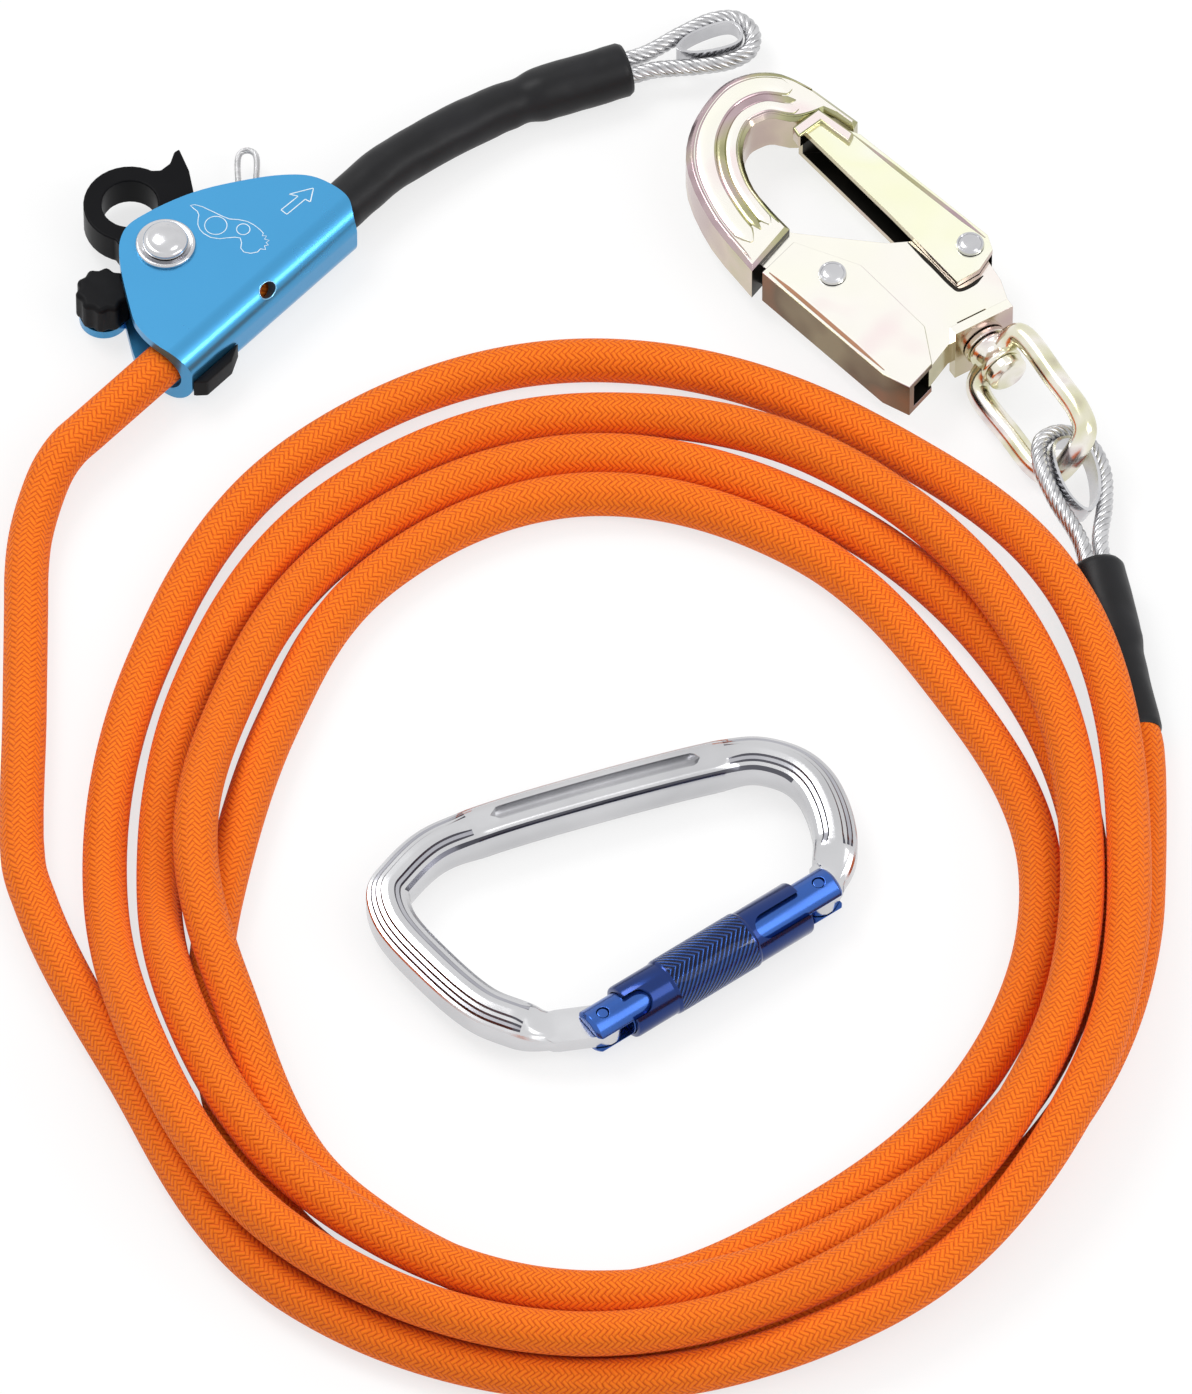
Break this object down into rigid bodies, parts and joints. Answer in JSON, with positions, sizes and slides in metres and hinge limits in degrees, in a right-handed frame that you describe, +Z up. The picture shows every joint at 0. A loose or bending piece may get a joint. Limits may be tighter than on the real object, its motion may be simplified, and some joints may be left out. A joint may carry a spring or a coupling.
{
  "type": "rope grab",
  "caption": "Rope grab on a steel-cored positioning rope with a swivel snap hook, a wire eye and a twist-lock carabiner.",
  "frame": {"origin": "on the floor under the rope's centre line, square to the grab's axle, on the flat underside of the back cheek", "axes": "+X to the right and +Y away from the viewer as laid out in the picture, +Z up from the floor"},
  "size_m": [0.3245, 0.4712, 0.0275],
  "materials": {
    "anodised": "satin light blue anodising",
    "black_alloy": "satin black coating",
    "steel": "bright plated steel",
    "wire": "stranded steel wire",
    "zinc": "yellow passivated zinc",
    "polished": "polished",
    "blue_alloy": "glossy dark blue anodising",
    "black_plastic": "matt",
    "shrink": "matt shrink tube",
    "rope": "braided sheath"
  },
  "bodies": {
    "line": {"rope_lead": "rope", "rope_coil": "rope", "upper_sleeve": "shrink", "lower_sleeve": "shrink", "upper_ferrule": "steel", "upper_eye_wire": "wire", "upper_thimble": "steel", "lower_ferrule": "steel", "lower_eye_wire": "wire", "lower_thimble": "steel"},
    "grab": {"housing": "anodised", "axle_bolt": "steel", "axle_washer": "steel", "axle_nut": "steel", "cam_bush": "steel", "cam_spring": "wire", "knob_screw": "steel", "leash_stud": "steel", "mouth_guard": "black_plastic"},
    "cam": {"cam_lever": "black_alloy"},
    "knob": {"thumb_knob": "black_plastic"},
    "leash": {"leash_crimp": "steel", "leash_wire": "wire"},
    "ring": {"swivel_ring": "zinc"},
    "hook": {"hook_body": "zinc", "swivel_pin": "zinc", "swivel_washer": "zinc", "keeper_rivet": "steel", "lever_rivet": "steel", "keeper_spring": "wire", "lever_spring": "wire"},
    "keeper": {"hook_keeper": "zinc"},
    "lock": {"lock_lever": "zinc"},
    "carabiner": {"carabiner_frame": "polished", "gate_hinge_pin": "steel"},
    "gate": {"gate_barrel": "blue_alloy", "gate_nose_pin": "steel", "gate_spring": "wire", "sleeve_spring": "wire"},
    "twist": {"gate_sleeve": "blue_alloy"}
  },
  "joints": [
    {"name": "grab_slide", "type": "slide", "parent": "line", "child": "grab", "axis": [-0.6756, -0.7373, 0], "range_m": [0, 0.028]},
    {"name": "cam_turn", "type": "hinge", "parent": "grab", "child": "cam", "pos_m": [-0.01659, 0.0152, 0.01045], "axis": [0, 0, 1], "range_deg": [-24, 8]},
    {"name": "knob_turn", "type": "hinge", "parent": "grab", "child": "knob", "pos_m": [-0.03418, 0.00474, 0.008], "axis": [0, 0, 1], "continuous": true},
    {"name": "leash_swing", "type": "hinge", "parent": "grab", "child": "leash", "pos_m": [0.00608, 0.03105, 0.0063], "axis": [0, 0, 1], "range_deg": [-20, 20]},
    {"name": "ring_swing", "type": "hinge", "parent": "line", "child": "ring", "pos_m": [0.23858, -0.05261, 0.0125], "axis": [0, 0, 1], "range_deg": [-6, 6]},
    {"name": "swivel_spin", "type": "hinge", "parent": "ring", "child": "hook", "pos_m": [0.2175, -0.0178, 0.0125], "axis": [0.518, -0.8554, 0], "continuous": true},
    {"name": "keeper_swing", "type": "hinge", "parent": "hook", "child": "keeper", "pos_m": [0.21053, 0.01641, 0.0125], "axis": [0, 0, 1], "range_deg": [0, 20], "stiffness_Nm_per_rad": 0.05, "springref_deg": -20.05, "deforming": ["keeper_spring"]},
    {"name": "lock_squeeze", "type": "hinge", "parent": "hook", "child": "lock", "pos_m": [0.1716, 0.0062, 0.0125], "axis": [0, 0, 1], "range_deg": [0, 8], "stiffness_Nm_per_rad": 0.05, "springref_deg": -20.05, "deforming": ["lever_spring"]},
    {"name": "carabiner_lift", "type": "slide", "parent": "line", "child": "carabiner", "axis": [0, 0, 1], "range_m": [0, 0.05]},
    {"name": "gate_swing", "type": "hinge", "parent": "carabiner", "child": "gate", "pos_m": [0.10679, -0.24288, 0.0084], "axis": [0, 0, 1], "range_deg": [0, 25]},
    {"name": "sleeve_twist", "type": "hinge", "parent": "gate", "child": "twist", "pos_m": [0.10679, -0.24288, 0.0084], "axis": [0.8076, 0.5898, 0], "range_deg": [0, 90]}
  ]
}
